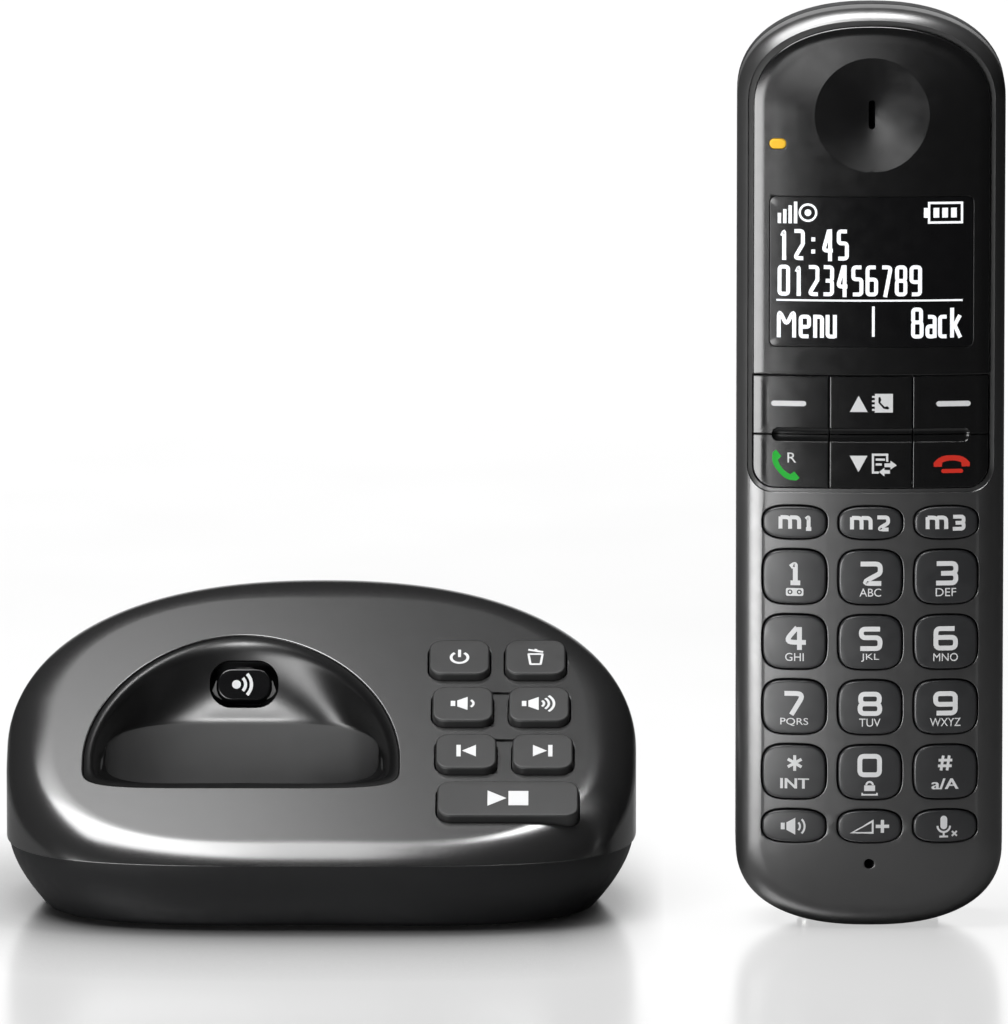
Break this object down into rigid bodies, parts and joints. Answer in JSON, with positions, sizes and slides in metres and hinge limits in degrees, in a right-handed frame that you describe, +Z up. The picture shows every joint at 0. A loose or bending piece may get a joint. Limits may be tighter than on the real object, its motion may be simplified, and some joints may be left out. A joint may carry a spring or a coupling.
{
  "type": "cordless telephone set",
  "caption": "Cordless telephone set: rounded base station with sloping top, cradle well and message keys, and a slim handset with display and dial keys standing upright beside it.",
  "frame": {"origin": "on the table, under the middle of the set's bounding box", "axes": "+X to the right from the base station to the handset, +Y to the back, +Z up"},
  "size_m": [0.1836, 0.077, 0.17],
  "materials": {
    "shell": "fine moulded grain, satin",
    "dark_shell": "fine moulded grain, satin",
    "gloss_black": "polished",
    "display": "polished window",
    "lamp": "clear tinted",
    "key": "satin",
    "mat": "silicone",
    "foot": "matt",
    "board": "coated board",
    "black_part": "moulded",
    "metal": "plated",
    "cell": "wrapped can"
  },
  "bodies": {
    "base": {"base_upper_housing": "shell", "base_lower_housing": "dark_shell", "cradle_cup": "gloss_black", "paging_switch": "board", "base_keypad_mat": "mat", "base_key_board": "board", "base_main_board": "board", "base_speaker": "black_part", "line_jack": "black_part", "power_jack": "black_part", "base_screws": "metal", "rubber_feet": "foot"},
    "paging_key": {"paging_key": "gloss_black"},
    "charging_pins": {"charging_pins": "metal"},
    "power_key": {"power_key": "key"},
    "delete_key": {"delete_key": "key"},
    "volume_down_key": {"volume_down_key": "key"},
    "volume_up_key": {"volume_up_key": "key"},
    "previous_key": {"previous_key": "key"},
    "next_key": {"next_key": "key"},
    "play_key": {"play_key": "key"},
    "handset": {"handset_front_housing": "shell", "handset_rear_housing": "dark_shell", "handset_fascia": "gloss_black", "display_module": "display", "event_lamp": "lamp", "handset_keypad_mat": "mat", "handset_board": "board", "earpiece_receiver": "metal", "microphone": "metal", "handset_loudspeaker": "black_part", "battery_cells": "cell", "battery_contacts": "metal", "handset_charging_pads": "metal", "handset_screws": "metal"},
    "battery_door": {"battery_door": "dark_shell"},
    "soft_left_key": {"soft_left_key": "gloss_black"},
    "up_key": {"up_key": "gloss_black"},
    "soft_right_key": {"soft_right_key": "gloss_black"},
    "talk_key": {"talk_key": "gloss_black"},
    "down_key": {"down_key": "gloss_black"},
    "end_key": {"end_key": "gloss_black"},
    "memory_key_1": {"memory_key_1": "key"},
    "memory_key_2": {"memory_key_2": "key"},
    "memory_key_3": {"memory_key_3": "key"},
    "dial_key_1": {"dial_key_1": "key"},
    "dial_key_2": {"dial_key_2": "key"},
    "dial_key_3": {"dial_key_3": "key"},
    "dial_key_4": {"dial_key_4": "key"},
    "dial_key_5": {"dial_key_5": "key"},
    "dial_key_6": {"dial_key_6": "key"},
    "dial_key_7": {"dial_key_7": "key"},
    "dial_key_8": {"dial_key_8": "key"},
    "dial_key_9": {"dial_key_9": "key"},
    "dial_key_star": {"dial_key_star": "key"},
    "dial_key_0": {"dial_key_0": "key"},
    "dial_key_hash": {"dial_key_hash": "key"},
    "speaker_key": {"speaker_key": "key"},
    "boost_key": {"boost_key": "key"},
    "mute_key": {"mute_key": "key"}
  },
  "joints": [
    {"name": "handset_lift", "type": "slide", "parent": "base", "child": "handset", "axis": [0, 0, 1], "range_m": [0, 0.06]},
    {"name": "battery_door_tilt", "type": "hinge", "parent": "handset", "child": "battery_door", "pos_m": [0.0673, -0.00985, 0.02265], "axis": [-1, 0, 0], "range_deg": [0, 35]},
    {"name": "charging_pins_press", "type": "slide", "parent": "base", "child": "charging_pins", "axis": [0, -0.309, -0.9511], "range_m": [0, 0.001], "stiffness_N_per_m": 300},
    {"name": "paging_key_press", "type": "slide", "parent": "base", "child": "paging_key", "axis": [0, 0.9342, -0.3568], "range_m": [0, 0.001], "stiffness_N_per_m": 300},
    {"name": "power_key_press", "type": "slide", "parent": "base", "child": "power_key", "axis": [0, 0.497, -0.8678], "range_m": [0, 0.001], "stiffness_N_per_m": 300},
    {"name": "delete_key_press", "type": "slide", "parent": "base", "child": "delete_key", "axis": [0, 0.497, -0.8678], "range_m": [0, 0.001], "stiffness_N_per_m": 300},
    {"name": "volume_down_key_press", "type": "slide", "parent": "base", "child": "volume_down_key", "axis": [0, 0.497, -0.8678], "range_m": [0, 0.001], "stiffness_N_per_m": 300},
    {"name": "volume_up_key_press", "type": "slide", "parent": "base", "child": "volume_up_key", "axis": [0, 0.497, -0.8678], "range_m": [0, 0.001], "stiffness_N_per_m": 300},
    {"name": "previous_key_press", "type": "slide", "parent": "base", "child": "previous_key", "axis": [0, 0.497, -0.8678], "range_m": [0, 0.001], "stiffness_N_per_m": 300},
    {"name": "next_key_press", "type": "slide", "parent": "base", "child": "next_key", "axis": [0, 0.497, -0.8678], "range_m": [0, 0.001], "stiffness_N_per_m": 300},
    {"name": "play_key_press", "type": "slide", "parent": "base", "child": "play_key", "axis": [0, 0.497, -0.8678], "range_m": [0, 0.001], "stiffness_N_per_m": 300},
    {"name": "soft_left_key_press", "type": "slide", "parent": "handset", "child": "soft_left_key", "axis": [0, 1, 0], "range_m": [0, 0.0008], "stiffness_N_per_m": 300},
    {"name": "up_key_press", "type": "slide", "parent": "handset", "child": "up_key", "axis": [0, 1, 0], "range_m": [0, 0.0008], "stiffness_N_per_m": 300},
    {"name": "soft_right_key_press", "type": "slide", "parent": "handset", "child": "soft_right_key", "axis": [0, 1, 0], "range_m": [0, 0.0008], "stiffness_N_per_m": 300},
    {"name": "talk_key_press", "type": "slide", "parent": "handset", "child": "talk_key", "axis": [0, 1, 0], "range_m": [0, 0.0008], "stiffness_N_per_m": 300},
    {"name": "down_key_press", "type": "slide", "parent": "handset", "child": "down_key", "axis": [0, 1, 0], "range_m": [0, 0.0008], "stiffness_N_per_m": 300},
    {"name": "end_key_press", "type": "slide", "parent": "handset", "child": "end_key", "axis": [0, 1, 0], "range_m": [0, 0.0008], "stiffness_N_per_m": 300},
    {"name": "memory_key_1_press", "type": "slide", "parent": "handset", "child": "memory_key_1", "axis": [0, 1, 0], "range_m": [0, 0.0008], "stiffness_N_per_m": 300},
    {"name": "memory_key_2_press", "type": "slide", "parent": "handset", "child": "memory_key_2", "axis": [0, 1, 0], "range_m": [0, 0.0008], "stiffness_N_per_m": 300},
    {"name": "memory_key_3_press", "type": "slide", "parent": "handset", "child": "memory_key_3", "axis": [0, 1, 0], "range_m": [0, 0.0008], "stiffness_N_per_m": 300},
    {"name": "dial_key_1_press", "type": "slide", "parent": "handset", "child": "dial_key_1", "axis": [0, 1, 0], "range_m": [0, 0.0008], "stiffness_N_per_m": 300},
    {"name": "dial_key_2_press", "type": "slide", "parent": "handset", "child": "dial_key_2", "axis": [0, 1, 0], "range_m": [0, 0.0008], "stiffness_N_per_m": 300},
    {"name": "dial_key_3_press", "type": "slide", "parent": "handset", "child": "dial_key_3", "axis": [0, 1, 0], "range_m": [0, 0.0008], "stiffness_N_per_m": 300},
    {"name": "dial_key_4_press", "type": "slide", "parent": "handset", "child": "dial_key_4", "axis": [0, 1, 0], "range_m": [0, 0.0008], "stiffness_N_per_m": 300},
    {"name": "dial_key_5_press", "type": "slide", "parent": "handset", "child": "dial_key_5", "axis": [0, 1, 0], "range_m": [0, 0.0008], "stiffness_N_per_m": 300},
    {"name": "dial_key_6_press", "type": "slide", "parent": "handset", "child": "dial_key_6", "axis": [0, 1, 0], "range_m": [0, 0.0008], "stiffness_N_per_m": 300},
    {"name": "dial_key_7_press", "type": "slide", "parent": "handset", "child": "dial_key_7", "axis": [0, 1, 0], "range_m": [0, 0.0008], "stiffness_N_per_m": 300},
    {"name": "dial_key_8_press", "type": "slide", "parent": "handset", "child": "dial_key_8", "axis": [0, 1, 0], "range_m": [0, 0.0008], "stiffness_N_per_m": 300},
    {"name": "dial_key_9_press", "type": "slide", "parent": "handset", "child": "dial_key_9", "axis": [0, 1, 0], "range_m": [0, 0.0008], "stiffness_N_per_m": 300},
    {"name": "dial_key_star_press", "type": "slide", "parent": "handset", "child": "dial_key_star", "axis": [0, 1, 0], "range_m": [0, 0.0008], "stiffness_N_per_m": 300},
    {"name": "dial_key_0_press", "type": "slide", "parent": "handset", "child": "dial_key_0", "axis": [0, 1, 0], "range_m": [0, 0.0008], "stiffness_N_per_m": 300},
    {"name": "dial_key_hash_press", "type": "slide", "parent": "handset", "child": "dial_key_hash", "axis": [0, 1, 0], "range_m": [0, 0.0008], "stiffness_N_per_m": 300},
    {"name": "speaker_key_press", "type": "slide", "parent": "handset", "child": "speaker_key", "axis": [0, 1, 0], "range_m": [0, 0.0008], "stiffness_N_per_m": 300},
    {"name": "boost_key_press", "type": "slide", "parent": "handset", "child": "boost_key", "axis": [0, 1, 0], "range_m": [0, 0.0008], "stiffness_N_per_m": 300},
    {"name": "mute_key_press", "type": "slide", "parent": "handset", "child": "mute_key", "axis": [0, 1, 0], "range_m": [0, 0.0008], "stiffness_N_per_m": 300}
  ]
}
